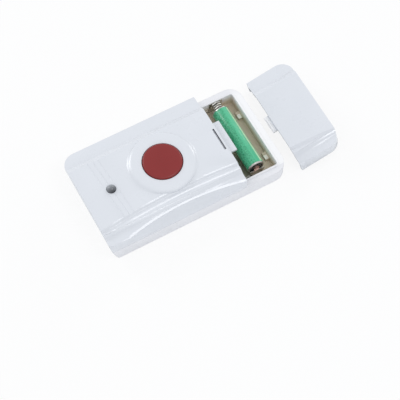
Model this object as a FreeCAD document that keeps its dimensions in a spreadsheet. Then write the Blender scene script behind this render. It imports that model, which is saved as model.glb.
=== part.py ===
import FreeCAD, Part
import math
import os
import re

import Sketcher
from FreeCAD import Placement, Rotation, Vector

# Wireless panic button with its battery cover taken off and lying beside the open battery bay.
# Millimetres. The origin is the centre of the case's underside, +X runs from the lamp end to the
# battery end, +Y to the far long side and +Z up through the red button.

NAME = "panic_button"
os.makedirs("parts", exist_ok=True)
doc = FreeCAD.newDocument(NAME)
sheet = doc.addObject("Spreadsheet::Sheet", "sizes")

# Driving sizes
SIZES = {
    # outer form
    "case_length": 117.0,
    "corner_radius": 8.4,
    "tight_corner_radius": 2.6,
    "end_roll": 52.0,
    "parting_height": 10.6,
    "ridge_height": 19.3,
    "rail_rise": 0.4,
    "plateau_height": 22.7,
    "plateau_half_width": 20.0,
    "slope_run": 3.6,
    "near_from_side": 13.4,
    "tread_drop": 1.4,
    "tread_crest": 3.1,
    "tread_from_side": 7.1,
    "bow_radius": 400.0,
    "scoop_radius": 156.0,
    "scoop_depth": 4.6,
    "scoop_cove": 7.0,
    "ridge_soft": 0.6,
    "underside_round": 1.2,
    # walls and seams
    "wall": 2.0,
    "floor_wall": 2.0,
    "top_wall": 2.0,
    "seam_gap": 0.2,
    "skirt_wall": 0.85,
    "skirt_depth": 1.6,
    "skirt_gap": 0.1,
    # red button and its raised collar
    "button_from_end": 50.5,
    "collar_gap": 0.1,
    "collar_height": 1.6,
    "collar_round": 1.5,
    "collar_foot": 1.6,
    "button_diameter": 23.3,
    "button_gap": 0.4,
    "button_stand": 1.6,
    "button_round": 1.1,
    "button_dome": 0.65,
    "button_skin": 2.2,
    "flange_width": 1.6,
    "flange_wall": 1.5,
    "sleeve_wall": 1.5,
    "sleeve_depth": 5.6,
    "stop_gap": 0.1,
    "stem_diameter": 6.4,
    "rib_wall": 1.2,
    "press_travel": 0.8,
    # lamp
    "lamp_from_end": 17.0,
    "lamp_aside": 0.9,
    "lamp_diameter": 5.6,
    "lamp_rim_diameter": 6.4,
    "lamp_rim_wall": 1.0,
    "lamp_length": 9.6,
    "lamp_gap": 0.1,
    "lamp_rise": 2.3,
    "lead_width": 0.5,
    "lead_pitch": 2.54,
    # fine grooves across the lamp end
    "groove_width": 0.5,
    "groove_depth": 0.16,
    "groove_pitch": 3.2,
    "groove_length": 46.0,
    "groove_angle": 4.5,
    # battery bay and cover
    "cover_length": 28.4,
    "bay_side_wall": 4.7,
    "bay_end_wall": 5.2,
    "bay_corner_radius": 1.5,
    "bay_overlap": 2.3,
    "partition_wall": 1.6,
    "partition_gap": 0.2,
    "lip_width": 1.1,
    "lip_height": 0.9,
    "shelf_reach": 5.0,
    "shelf_half_width": 11.0,
    "shelf_wall": 1.5,
    "shelf_drop": 1.8,
    "web_wall": 1.2,
    "slit_inset": 1.9,
    "slit_width": 1.1,
    "slit_aside": 2.0,
    "slit_half_length": 7.6,
    "tab_half_width": 5.7,
    "tab_reach": 2.8,
    "tab_wall": 1.2,
    "tab_root": 3.0,
    "nib_height": 1.0,
    "lug_spacing": 32.0,
    "lug_width": 5.0,
    "lug_wall": 1.2,
    "lug_reach": 5.0,
    "lug_gap": 0.2,
    "guide_wall": 0.8,
    "cover_apart": 9.0,
    "cover_aside": 1.2,
    # battery and contacts
    "battery_diameter": 10.5,
    "battery_body_length": 43.7,
    "battery_nub_length": 0.8,
    "battery_nub_diameter": 3.8,
    "battery_lift": 1.15,
    "battery_aside": 1.4,
    "battery_round": 0.5,
    "seat_gap": 0.05,
    "saddle_spacing": 26.0,
    "saddle_wall": 1.2,
    "saddle_half_width": 4.6,
    "saddle_rise": 2.2,
    "contact_wall": 0.4,
    "contact_brace": 3.9,
    "contact_half_width": 4.5,
    "contact_height": 9.2,
    "positive_height": 5.4,
    "contact_tail_height": 2.2,
    "contact_foot": 3.0,
    "spring_fitted": 5.4,
    "spring_wire": 0.8,
    "spring_coil_diameter": 7.6,
    "spring_turns": 3.5,
    "spring_end_diameter": 5.6,
    # circuit board and what it carries
    "board_wall": 1.6,
    "board_height": 6.0,
    "board_nose": 5.3,
    "board_margin": 6.0,
    "board_gap": 0.5,
    "peg_inset": 3.2,
    "peg_diameter": 5.0,
    "switch_width": 12.0,
    "switch_height": 3.5,
    "plunger_diameter": 6.6,
    "plunger_top": 7.3,
    "plunger_gap": 0.2,
    "plunger_in": 1.2,
    "chip_from_edge": 18.0,
    "chip_length": 12.8,
    "chip_width": 7.5,
    "chip_height": 2.3,
    "pin_pitch": 1.27,
    "pin_width": 0.42,
    "pin_reach": 1.4,
    "can_from_end": 11.2,
    "can_diameter": 9.2,
    "can_height": 3.2,
    "can_rim": 0.6,
    "transistor_from_button": 13.5,
    "transistor_diameter": 4.8,
    "transistor_height": 4.6,
    "transistor_legs": 2.0,
    "tank_diameter": 5.0,
    "tank_height": 7.0,
    "disc_pitch": 4.6,
    "disc_diameter": 4.4,
    "disc_wall": 1.8,
    "resistor_diameter": 1.8,
    "resistor_length": 3.6,
    "resistor_pitch": 3.2,
    "antenna_wire": 1.2,
    "antenna_gap": 5.0,
    "antenna_height": 4.5,
    # screws
    "post_from_end": 12.0,
    "post_from_side": 8.5,
    "post_diameter": 8.6,
    "inner_post_half_span": 13.5,
    "inner_post_from_joint": 8.0,
    "shell_post_diameter": 6.0,
    "screw_diameter": 2.8,
    "screw_length": 12.5,
    "screw_head_diameter": 5.5,
    "screw_head_height": 1.9,
    "screw_gap": 0.3,
    "thread_gap": 0.05,
    "recess_depth": 3.0,
    "small_screw_diameter": 2.0,
    "small_screw_length": 4.6,
    "small_head_diameter": 3.8,
    "small_head_height": 1.3,
}

# Sizes that follow from the driving ones
DERIVED = {
    "half_length": "case_length / 2",
    "bay_half_width": "contact_wall + (contact_brace + battery_nub_length + battery_body_length "
    "+ spring_fitted) / 2",
    "half_width": "bay_half_width + bay_side_wall",
    "near_half_width": "half_width - near_from_side",
    "tread_half_width": "half_width - tread_from_side",
    "case_width": "2 * half_width",
    "joint_x": "half_length - cover_length",
    "rail_height": "ridge_height + rail_rise",
    "button_x": "button_from_end - half_length",
    "lamp_x": "lamp_from_end - half_length",
    "lamp_y": "-lamp_aside",
    "collar_radius": "plateau_half_width - collar_gap",
    "collar_top": "plateau_height + collar_height",
    "collar_ceiling": "collar_top - top_wall",
    "plateau_ceiling": "plateau_height - top_wall",
    "rail_ceiling": "ridge_height - top_wall",
    "scoop_axis_y": "scoop_depth - half_width - scoop_radius",
    "bow_axis_y": "-near_half_width - bow_radius",
    "bay_end_x": "half_length - bay_end_wall",
    "bay_start_x": "joint_x - bay_overlap",
    "battery_x": "(bay_start_x + bay_end_x) / 2 + battery_aside",
    "battery_end": "bay_half_width - contact_wall - spring_fitted",
    "partition_x": "bay_start_x - partition_wall",
    "lip_top": "parting_height + lip_height",
    "shelf_top": "plateau_ceiling - shelf_drop",
    "partition_top": "shelf_top - shelf_wall - partition_gap",
    "board_top": "board_height + board_wall",
    "plunger_crown": "board_top + plunger_top",
    "switch_top": "board_top + switch_height",
    "button_crown": "collar_top + button_stand",
    "button_radius": "button_diameter / 2",
    "flange_radius": "button_radius + flange_width",
    "flange_top": "collar_ceiling - stop_gap",
    "sleeve_radius": "flange_radius + button_gap",
    "battery_radius": "battery_diameter / 2",
    "battery_axis_height": "floor_wall + battery_lift + battery_radius",
    "nub_end": "battery_end - battery_body_length - battery_nub_length",
    "spring_radius": "(spring_coil_diameter - spring_wire) / 2",
    "spring_small_radius": "(spring_end_diameter - spring_wire) / 2",
    "spring_length": "bay_half_width - contact_wall - battery_end - spring_wire",
    "lug_x": "bay_end_x - lug_gap - lug_wall",
    "lug_tip": "parting_height - lug_reach",
    "lug_run": "lug_x - joint_x - seam_gap / 2",
    "post_x": "post_from_end - half_length",
    "post_half_span": "half_width - post_from_side",
    "inner_post_x": "joint_x - inner_post_from_joint",
    "board_x": "board_nose - half_length",
    "board_edge_x": "post_x + post_diameter / 2 + board_gap",
    "board_end_x": "inner_post_x - post_diameter / 2 - board_gap",
    "board_half_width": "half_width - wall - board_margin",
    "recess_diameter": "screw_head_diameter + 2 * screw_gap",
    "screw_seat": "recess_depth",
    "screw_pilot_top": "screw_seat + screw_length + screw_gap",
    "peg_left_x": "board_edge_x + peg_inset",
    "peg_right_x": "board_end_x - peg_inset",
    "peg_half_span": "board_half_width - peg_inset",
    "lamp_top": "plateau_height + lamp_rise",
    "lamp_foot": "lamp_top - lamp_length",
}

for row, (alias, value) in enumerate(SIZES.items(), start=1):
    sheet.set("A%d" % row, alias)
    sheet.set("B%d" % row, str(value))
    sheet.setAlias("B%d" % row, alias)
for row, (alias, formula) in enumerate(DERIVED.items(), start=1):
    sheet.set("D%d" % row, alias)
    sheet.set("E%d" % row, "=" + formula)
    sheet.setAlias("E%d" % row, alias)
doc.recompute()

WORDS = re.compile(r"[a-z][a-z_]*")
ALIASES = set(SIZES) | set(DERIVED)


def tied(text):
    """Point each size named in an expression at the sheet."""
    return WORDS.sub(lambda found: ("sizes." if found.group() in ALIASES else "") + found.group(), text)


def bind(item, **expressions):
    """Tie an object's properties to sizes; double underscores stand for the dots of a property path."""
    for path, text in expressions.items():
        item.setExpression(path.replace("__", "."), tied(text))
    return item


# Solids from primitives

TURNS = {
    "z": Rotation(),
    "x": Rotation(Vector(0, 1, 0), 90),
    "y": Rotation(Vector(1, 0, 0), -90),
}


def place(item, x, y, z, axis="z"):
    item.Placement = Placement(Vector(), TURNS[axis])
    return bind(item, Placement__Base__x=x, Placement__Base__y=y, Placement__Base__z=z)


def box(label, x, y, z):
    """A block between two corners: each argument is a pair of expressions, low and high."""
    item = doc.addObject("Part::Box", label)
    bind(
        item,
        Length="(%s) - (%s)" % (x[1], x[0]),
        Width="(%s) - (%s)" % (y[1], y[0]),
        Height="(%s) - (%s)" % (z[1], z[0]),
    )
    return place(item, x[0], y[0], z[0])


def rod(label, x, y, z, radius, height, axis="z"):
    item = doc.addObject("Part::Cylinder", label)
    bind(item, Radius=radius, Height=height)
    return place(item, x, y, z, axis)


def ball(label, x, y, z, radius):
    item = doc.addObject("Part::Sphere", label)
    bind(item, Radius=radius)
    return place(item, x, y, z)


def joined(label, items):
    item = doc.addObject("Part::MultiFuse", label)
    item.Shapes = items
    item.Refine = True
    return item


def group(label, items):
    """Several separate solids kept together under one name."""
    item = doc.addObject("Part::Compound", label)
    item.Links = items
    return item


def without(label, base, tools):
    """Cut the tools, one or several, out of the base."""
    tool = tools[0] if len(tools) == 1 else joined(label + "_tools", tools)
    item = doc.addObject("Part::Cut", label)
    item.Base = base
    item.Tool = tool
    item.Refine = True
    return item


def shared(label, first, second):
    item = doc.addObject("Part::Common", label)
    item.Base = first
    item.Tool = second
    item.Refine = True
    return item


# Solids from sketches

def outline(body, label, role, points, **offset):
    """A closed sketch of straight lines whose corners are pairs of expressions."""
    sketch = body.newObject("Sketcher::SketchObject", label)
    plane = [item for item in body.Origin.OriginFeatures if item.Role == role][0]
    sketch.AttachmentSupport = [(plane, "")]
    sketch.MapMode = "FlatFace"
    count = len(points)
    starts = [Vector(10 * (index % 3), 7 * index, 0) for index in range(count)]
    for index in range(count):
        sketch.addGeometry(Part.LineSegment(starts[index], starts[(index + 1) % count]))
    for index in range(count):
        sketch.addConstraint(Sketcher.Constraint("Coincident", index, 2, (index + 1) % count, 1))
    for index, (across, up) in enumerate(points):
        for kind, text in (("DistanceX", across), ("DistanceY", up)):
            key = sketch.addConstraint(Sketcher.Constraint(kind, -1, 1, index, 1, 1.0))
            sketch.setExpression("Constraints[%d]" % key, tied(text))
    bind(sketch, **{"AttachmentOffset__Base__" + axis: text for axis, text in offset.items()})
    return sketch


def rectangle(x, y):
    return [(x[0], y[0]), (x[1], y[0]), (x[1], y[1]), (x[0], y[1])]


def padded(body, sketch, length, middle=False):
    pad = body.newObject("PartDesign::Pad", sketch.Name + "_pad")
    pad.Profile = sketch
    pad.Midplane = middle
    return bind(pad, Length=length)


def turned(body, sketch, kind="PartDesign::Revolution", angle=360.0):
    """Revolve a sketch about its own vertical axis, or cut that turn away."""
    turn = body.newObject(kind, sketch.Name + "_turn")
    turn.Profile = sketch
    turn.ReferenceAxis = (sketch, ["V_Axis"])
    turn.Angle = angle
    turn.Midplane = angle < 360.0
    return turn


def arc(x, y, radius, start, end, steps):
    """Corners along a circular arc, for rounding the rim of a turned profile."""
    path = []
    for index in range(steps + 1):
        angle = math.radians(start + (end - start) * index / steps)
        path.append(
            (
                "%s + %.4f * %s" % (x, math.cos(angle), radius),
                "%s + %.4f * %s" % (y, math.sin(angle), radius),
            )
        )
    return path


def spun(label, plane, points):
    """A solid turned from a profile given as distance from the axis and height along it."""
    body = doc.addObject("PartDesign::Body", label)
    turned(body, outline(body, label + "_sketch", plane, points))
    return body


def rounded(body, label, radius, wanted):
    """Round the edges of the body's tip that a test picks out."""
    doc.recompute()
    base = body.Tip
    picked = ["Edge%d" % (index + 1) for index, edge in enumerate(base.Shape.Edges) if wanted(edge)]
    fillet = body.newObject("PartDesign::Fillet", label)
    fillet.Base = (base, picked)
    return bind(fillet, Radius=radius)


def upright(edge):
    """A straight vertical edge."""
    first, last = edge.Vertexes[0].Point, edge.Vertexes[-1].Point
    return abs(first.x - last.x) < 1e-4 and abs(first.y - last.y) < 1e-4 and abs(first.z - last.z) > 1e-4


def at_x(edge, value):
    box_of = edge.BoundBox
    return abs(box_of.XMin - value) < 1e-4 and abs(box_of.XMax - value) < 1e-4


def at_z(edge, value):
    box_of = edge.BoundBox
    return abs(box_of.ZMin - value) < 1e-4 and abs(box_of.ZMax - value) < 1e-4


def slab(label, x, y, z, radius=None, tight=None, ends="both"):
    """An upright-sided block with rounded vertical corners; the near one at the lamp end can be tighter."""
    body = doc.addObject("PartDesign::Body", label)
    sketch = outline(body, label + "_sketch", "XY_Plane", rectangle(x, y), z=z[0])
    padded(body, sketch, "(%s) - (%s)" % (z[1], z[0]))
    doc.recompute()
    low_x = body.Tip.Shape.BoundBox.XMin
    low_y = body.Tip.Shape.BoundBox.YMin

    def near_left(edge):
        return upright(edge) and at_x(edge, low_x) and abs(edge.BoundBox.YMin - low_y) < 1e-4

    def others(edge):
        kept = upright(edge) and (ends == "both" or at_x(edge, low_x))
        return kept and not (tight and near_left(edge))

    if radius:
        rounded(body, label + "_corners", radius, others)
    if tight:
        rounded(body, label + "_tight_corner", tight, near_left)
    return body


ACROSS = ("-case_width", "case_width")
TALL = ("-wall", "2 * plateau_height")

# The upper form: plateau, shoulders and finger scoop. It is made twice, once for the outside and
# once, inset by the walls, for the hollow.

def rolled(label, base, inset):
    """Bring the lamp end inwards towards the underside on one wide roll, tangent at the plateau."""
    axis_x = "end_roll - half_length"
    roll = rod(label + "_roll", axis_x, "-case_width", "plateau_height", "end_roll - " + inset, "2 * case_width", "y")
    rest = box(label + "_rest", (axis_x, "case_length"), ACROSS, ("-case_width", "case_width"))
    return shared(label, base, joined(label + "_reach", [roll, rest]))


def upper_form(label, inset, drop, foot):
    plateau = "plateau_height - " + drop
    rail = "rail_height - " + drop
    ridge = "ridge_height - " + drop
    above = "plateau_height + 2 * wall"
    edge = "(plateau_half_width - 0.3 * %s)" % inset
    outer = "(half_width - %s)" % inset
    body = slab(
        label + "_block",
        ("%s - half_length" % inset, "half_length - %s" % inset),
        ("-" + outer, outer),
        (foot, plateau),
        "corner_radius - " + inset,
        "tight_corner_radius - " + inset,
    )
    # Far shoulder, straight: a slope down from the plateau, then the rail out to the ridge
    far = outline(
        body,
        label + "_far_shoulder",
        "YZ_Plane",
        [
            (edge, plateau),
            (edge + " + slope_run", rail),
            (outer, ridge),
            (outer + " + 2 * wall", ridge),
            (outer + " + 2 * wall", above),
            (edge, above),
        ],
    )
    far_cut = body.newObject("PartDesign::Pocket", label + "_far_cut")
    far_cut.Profile = far
    far_cut.Midplane = True
    bind(far_cut, Length="2 * case_length")
    # Near shoulder, swept on a wide arc about an upright axis: a steep step down from the plateau
    # into a shallow valley, then a low crest on a tread
    bow = "(bow_radius + 0.3 * %s)" % inset
    bow_outer = "(bow_radius + near_half_width - half_width + %s)" % inset
    tread = plateau + " - tread_drop"
    near = outline(
        body,
        label + "_near_shoulder",
        "YZ_Plane",
        [
            (bow, plateau),
            (bow + " - 0.35 * tread_crest", tread + " + 0.2 * tread_drop"),
            (bow + " - 0.5 * tread_crest", tread),
            (bow + " - 0.8 * tread_crest", tread + " + 0.04 * tread_drop"),
            (bow + " - tread_crest", tread + " + 0.12 * tread_drop"),
            (bow + " - 1.25 * tread_crest", tread + " - 0.12 * tread_drop"),
            (bow_outer, tread + " - 0.4 * tread_drop"),
            (bow_outer + " - 4 * wall", tread + " - 0.4 * tread_drop"),
            (bow_outer + " - 4 * wall", above),
            (bow, above),
        ],
        x="bow_axis_y",
        z="button_x",
    )
    turned(body, near, "PartDesign::Groove", 24.0)
    # The tread's straight outer edge and the trough between it and the ridge
    lip_y = "-(tread_half_width - 0.3 * %s)" % inset
    trough = outline(
        body,
        label + "_trough",
        "YZ_Plane",
        [
            (lip_y + " + 0.5 * ridge_soft", tread + " - 0.25 * tread_drop"),
            (lip_y + " - 1.2 * ridge_soft", tread + " - 0.25 * tread_drop - 0.8 * ridge_soft"),
            (lip_y + " - 1.1 * tread_drop", rail),
            (lip_y + " - 1.8 * tread_drop", ridge),
            ("-" + outer, ridge),
            ("-" + outer + " - 2 * wall", ridge),
            ("-" + outer + " - 2 * wall", above),
            (lip_y + " + 0.5 * ridge_soft", above),
        ],
    )
    trough_cut = body.newObject("PartDesign::Pocket", label + "_trough_cut")
    trough_cut.Profile = trough
    trough_cut.Midplane = True
    bind(trough_cut, Length="2 * case_length")
    # Finger scoop on the near flank: a cove swept on a tighter arc
    wide = "(scoop_radius + %s)" % inset
    cove = [(0, 0.2), (0.08, 0.58), (0.3, 0.9), (0.66, 1.12), (1.2, 1.2)]
    soft = wide + " + 2 * ridge_soft"
    path = [(soft, above), (soft, ridge), (wide, ridge + " - ridge_soft")]
    path += [
        ("%s - %s * scoop_cove" % (wide, out), "ridge_height - 0.5 * %s - %s * scoop_cove" % (drop, down))
        for out, down in cove
    ]
    path += [("%s - %s * scoop_cove" % (wide, cove[-1][0]), above)]
    scoop = outline(body, label + "_scoop", "YZ_Plane", path, x="scoop_axis_y", z="button_x")
    turned(body, scoop, "PartDesign::Groove", 60.0)
    return rolled(label, body, inset)


outside = upper_form("outside", "0", "0", "parting_height")
hollow = upper_form("hollow", "wall", "top_wall", "parting_height - wall")

# Battery cover: the end of the form past the joint, with its tab and two lugs. It lies beside the
# case, tipped on the lug tips.
cover_side = box("cover_side", ("joint_x + seam_gap / 2", "case_length"), ACROSS, TALL)
cover_skin = without("cover_skin", shared("cover_end", outside, cover_side), [hollow])
cover_items = [cover_skin]
tab_top = "plateau_ceiling - seam_gap"
cover_items.append(
    box(
        "cover_tab",
        ("joint_x - tab_reach", "joint_x + tab_root"),
        ("-tab_half_width", "tab_half_width"),
        (tab_top + " - tab_wall", tab_top),
    )
)
cover_items.append(
    box(
        "cover_tab_root",
        ("joint_x + seam_gap / 2", "joint_x + tab_root"),
        ("-tab_half_width", "tab_half_width"),
        (tab_top + " - tab_wall", "plateau_height - top_wall / 2"),
    )
)
cover_items.append(
    box(
        "cover_nib",
        ("joint_x - slit_inset - 0.35 * slit_width", "joint_x - slit_inset + 0.35 * slit_width"),
        ("-0.9 * tab_half_width", "0.7 * tab_half_width"),
        (tab_top + " - tab_wall / 2", tab_top + " + nib_height"),
    )
)
for side, sign in (("near", "-1"), ("far", "1")):
    middle = "%s * lug_spacing / 2" % sign
    lug_y = (middle + " - lug_width / 2", middle + " + lug_width / 2")
    lug_top = "parting_height + lip_height + 2 * lug_wall"
    cover_items.append(box("lug_" + side, ("lug_x", "lug_x + lug_wall"), lug_y, ("lug_tip", lug_top)))
    cover_items.append(
        box(
            "lug_arm_" + side,
            ("lug_x", "half_length - wall / 2"),
            lug_y,
            (lug_top + " - lug_wall", lug_top),
        )
    )
battery_cover = joined("battery_cover", cover_items)
battery_cover.Placement = Placement(Vector(), Rotation(Vector(0, 1, 0), -10))
tilt = "atan(lug_reach / lug_run)"
pivot_x = "(joint_x + seam_gap / 2)"
bind(
    battery_cover,
    Placement__Rotation__Angle="-" + tilt,
    Placement__Base__x="half_length + cover_apart - (%s * cos(%s) - parting_height * sin(%s))"
    % (pivot_x, tilt, tilt),
    Placement__Base__y="-cover_aside",
    Placement__Base__z="-(%s * sin(%s) + parting_height * cos(%s))" % (pivot_x, tilt, tilt),
)

# Front shell
shell_side = box("shell_side", ("-case_length", "joint_x - seam_gap / 2"), ACROSS, TALL)
shell_skin = without("shell_skin", shared("shell_end", outside, shell_side), [hollow])
skirt_outer = slab(
    "skirt_outer",
    ("wall - skirt_wall - half_length", "partition_x - partition_gap"),
    ("wall - skirt_wall - half_width", "half_width - wall + skirt_wall"),
    ("parting_height - skirt_depth", "parting_height + 0.1"),
    "corner_radius - wall + skirt_wall",
    "tight_corner_radius - wall + skirt_wall",
    "low",
)
skirt_inner = slab(
    "skirt_inner",
    ("wall - half_length", "partition_x + wall"),
    ("wall - half_width", "half_width - wall"),
    ("parting_height - 2 * skirt_depth", "parting_height + wall"),
    "corner_radius - wall",
    "tight_corner_radius - wall",
    "low",
)
skirt_rolled = rolled("skirt_rolled", skirt_outer, "(wall - skirt_wall)")
skirt = without("skirt", skirt_rolled, [rolled("skirt_inner_rolled", skirt_inner, "wall")])
collar_path = [("0", "plateau_height - collar_foot"), ("collar_radius", "plateau_height - collar_foot")]
collar_path += arc("collar_radius - collar_round", "collar_top - collar_round", "collar_round", 0, 90, 4)
collar_path += [("0", "collar_top")]
collar = spun("collar", "XZ_Plane", collar_path)
bind(collar, Placement__Base__x="button_x")
sleeve = rod(
    "sleeve",
    "button_x",
    "0",
    "collar_ceiling - sleeve_depth",
    "sleeve_radius + sleeve_wall",
    "sleeve_depth + top_wall / 2",
)
shelf_x = "partition_x - partition_gap"
shelf_y = ("-shelf_half_width", "shelf_half_width")
shelf = box("shelf", (shelf_x, "joint_x + shelf_reach"), shelf_y, ("shelf_top - shelf_wall", "shelf_top"))
shelf_back = box(
    "shelf_back",
    (shelf_x + " - web_wall", shelf_x),
    shelf_y,
    ("shelf_top - shelf_wall", "plateau_height - top_wall / 2"),
)
shell_items = [skirt, sleeve, shelf, shelf_back]
for side, sign in (("near", "-1"), ("far", "1")):
    middle = "%s * (shelf_half_width - web_wall / 2)" % sign
    shell_items.append(
        box(
            "shelf_web_" + side,
            (shelf_x, "joint_x - seam_gap / 2"),
            (middle + " - web_wall / 2", middle + " + web_wall / 2"),
            ("shelf_top", "plateau_height - top_wall / 2"),
        )
    )
POSTS = [
    ("outer_near", "post_x", "-1 * post_half_span", "rail_height - top_wall / 2"),
    ("outer_far", "post_x", "post_half_span", "rail_height - top_wall / 2"),
    ("inner_near", "inner_post_x", "-1 * inner_post_half_span", "plateau_height - top_wall / 2"),
    ("inner_far", "inner_post_x", "inner_post_half_span", "plateau_height - top_wall / 2"),
]
post_top = "parting_height - skirt_depth"
shell_post_foot = post_top + " + screw_gap"
for name, x, y, top in POSTS:
    shell_items.append(
        rod(
            "shell_post_" + name,
            x,
            y,
            shell_post_foot,
            "shell_post_diameter / 2",
            "%s - (%s)" % (top, shell_post_foot),
        )
    )
# The recess under the collar is cut from the skin and collar only, then the sleeve stands in it
collar_recess = rod(
    "collar_recess",
    "button_x",
    "0",
    "plateau_height - 2 * top_wall",
    "collar_radius - wall",
    "collar_ceiling - plateau_height + 2 * top_wall",
)
shell_roof = without("shell_roof", joined("shell_skin_collar", [shell_skin, collar]), [collar_recess])
shell_full = joined("shell_full", [shell_roof] + shell_items)
shell_cuts = [
    rod("sleeve_bore", "button_x", "0", "parting_height", "sleeve_radius", "collar_ceiling - parting_height"),
    rod("button_hole", "button_x", "0", "parting_height", "button_radius + button_gap", "case_width"),
    rod("lamp_hole", "lamp_x", "lamp_y", "parting_height", "lamp_diameter / 2 + lamp_gap", "case_width"),
    box(
        "slit",
        ("joint_x - slit_inset - slit_width / 2", "joint_x - slit_inset + slit_width / 2"),
        ("-slit_aside - slit_half_length", "slit_half_length - slit_aside"),
        ("shelf_top", "plateau_height + wall"),
    ),
]
for name, x, y, top in POSTS:
    shell_cuts.append(
        rod(
            "pilot_" + name,
            x,
            y,
            "parting_height - 2 * skirt_depth",
            "screw_diameter / 2 + thread_gap",
            "screw_pilot_top - parting_height + 2 * skirt_depth",
        )
    )
for step in (-1, 0, 1):
    line = doc.addObject("Part::Box", "fine_groove_%d" % (step + 2))
    line.Placement = Placement(Vector(), Rotation(Vector(0, 0, 1), 5))
    bind(
        line,
        Length="groove_width",
        Width="groove_length",
        Height="2 * groove_depth",
        Placement__Rotation__Angle="groove_angle * 1 deg",
        Placement__Base__x="lamp_x + %d * groove_pitch / cos(groove_angle) "
        "- groove_width / 2 * cos(groove_angle) + groove_length / 2 * sin(groove_angle)" % step,
        Placement__Base__y="lamp_y - groove_width / 2 * sin(groove_angle) - groove_length / 2 * cos(groove_angle)",
        Placement__Base__z="plateau_height - groove_depth",
    )
    shell_cuts.append(line)
front_shell = without("front_shell", shell_full, shell_cuts)

# Back shell: electronics chamber, partition and battery bay
tray = slab(
    "tray",
    ("-half_length", "half_length"),
    ("-half_width", "half_width"),
    ("0", "parting_height"),
    "corner_radius",
    "tight_corner_radius",
)
tray_rolled = rolled("tray_rolled", tray, "0")
tray_soft = doc.addObject("PartDesign::Body", "tray_soft")
tray_soft.BaseFeature = tray_rolled
rounded(tray_soft, "tray_underside", "underside_round", lambda edge: at_z(edge, 0))
lip = slab(
    "lip",
    ("bay_start_x", "bay_end_x + lip_width"),
    ("-bay_half_width - lip_width", "bay_half_width + lip_width"),
    ("parting_height - 0.1", "lip_top"),
    "bay_corner_radius + lip_width",
)
partition = box(
    "partition",
    ("partition_x", "bay_start_x + 0.1"),
    ("-bay_half_width", "bay_half_width"),
    ("floor_wall - 0.1", "min(partition_top; rail_ceiling - 2 * partition_gap)"),
)
partition_crest = box(
    "partition_crest",
    ("partition_x", "bay_start_x"),
    ("-shelf_half_width", "shelf_half_width"),
    ("parting_height", "partition_top"),
)
chamber = slab(
    "chamber",
    ("wall - half_length", "partition_x"),
    ("wall - half_width", "half_width - wall"),
    ("floor_wall", "2 * parting_height"),
    "corner_radius - wall",
    "tight_corner_radius - wall",
    "low",
)
rebate = slab(
    "rebate",
    ("wall - skirt_wall - skirt_gap - half_length", "partition_x"),
    ("wall - skirt_wall - skirt_gap - half_width", "half_width - wall + skirt_wall + skirt_gap"),
    ("parting_height - skirt_depth - skirt_gap", "2 * parting_height"),
    "corner_radius - wall + skirt_wall + skirt_gap",
    "tight_corner_radius - wall + skirt_wall + skirt_gap",
    "low",
)
bay = slab(
    "bay",
    ("bay_start_x", "bay_end_x"),
    ("-bay_half_width", "bay_half_width"),
    ("floor_wall", "3 * parting_height"),
    "bay_corner_radius",
)
tray_hollows = [
    rolled("chamber_rolled", chamber, "wall"),
    rolled("rebate_rolled", rebate, "(wall - skirt_wall - skirt_gap)"),
]
tray_open = without("tray_open", joined("tray_blank", [tray_soft, lip]), tray_hollows)
tray_items = [without("tray_shell", joined("tray_split", [tray_open, partition, partition_crest]), [bay])]
for name, x, y, top in POSTS:
    tray_items.append(
        rod("post_" + name, x, y, "floor_wall - 0.1", "post_diameter / 2", post_top + " - floor_wall + 0.1")
    )
PEGS = [
    ("left_near", "peg_left_x", "-1 * peg_half_span"),
    ("left_far", "peg_left_x", "peg_half_span"),
    ("right_near", "peg_right_x", "-1 * peg_half_span"),
    ("right_far", "peg_right_x", "peg_half_span"),
]
for name, x, y in PEGS:
    tray_items.append(
        rod("peg_" + name, x, y, "floor_wall - 0.1", "peg_diameter / 2", "board_height - floor_wall + 0.1")
    )
for side, sign in (("near", "-1"), ("far", "1")):
    middle = "%s * saddle_spacing / 2" % sign
    tray_items.append(
        box(
            "saddle_" + side,
            ("battery_x - saddle_half_width", "battery_x + saddle_half_width"),
            (middle + " - saddle_wall / 2", middle + " + saddle_wall / 2"),
            ("floor_wall - 0.1", "battery_axis_height - battery_radius + saddle_rise"),
        )
    )
    catch = "%s * lug_spacing / 2" % sign
    tray_items.append(
        box(
            "catch_" + side,
            ("lug_x - lug_wall", "bay_end_x + 0.1"),
            (catch + " - lug_width / 2", catch + " + lug_width / 2"),
            ("floor_wall - 0.1", "lug_tip - 2 * lug_gap - guide_wall"),
        )
    )
    brace = "battery_x + %s * (contact_half_width - guide_wall)" % sign
    tray_items.append(
        box(
            "contact_brace_" + side,
            (brace + " - guide_wall / 2", brace + " + guide_wall / 2"),
            ("-bay_half_width - 0.1", "nub_end - contact_wall"),
            ("floor_wall - 0.1", "floor_wall + positive_height - guide_wall"),
        )
    )
tray_cuts = [
    rod(
        "saddle_seat",
        "battery_x",
        "-saddle_spacing",
        "battery_axis_height",
        "battery_radius + seat_gap",
        "2 * saddle_spacing",
        "y",
    )
]
for name, x, y, top in POSTS:
    tray_cuts.append(rod("recess_" + name, x, y, "-floor_wall", "recess_diameter / 2", "recess_depth + floor_wall"))
    tray_cuts.append(
        rod("screw_hole_" + name, x, y, "-floor_wall", "screw_diameter / 2 + screw_gap", "2 * parting_height")
    )
for name, x, y in PEGS:
    tray_cuts.append(
        rod(
            "peg_bore_" + name,
            x,
            y,
            "board_top - small_screw_length - screw_gap",
            "small_screw_diameter / 2 + thread_gap",
            "parting_height",
        )
    )
CONTACTS = {
    "near": ("nub_end - contact_wall", "nub_end"),
    "far": ("bay_half_width - contact_wall", "bay_half_width"),
}
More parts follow.
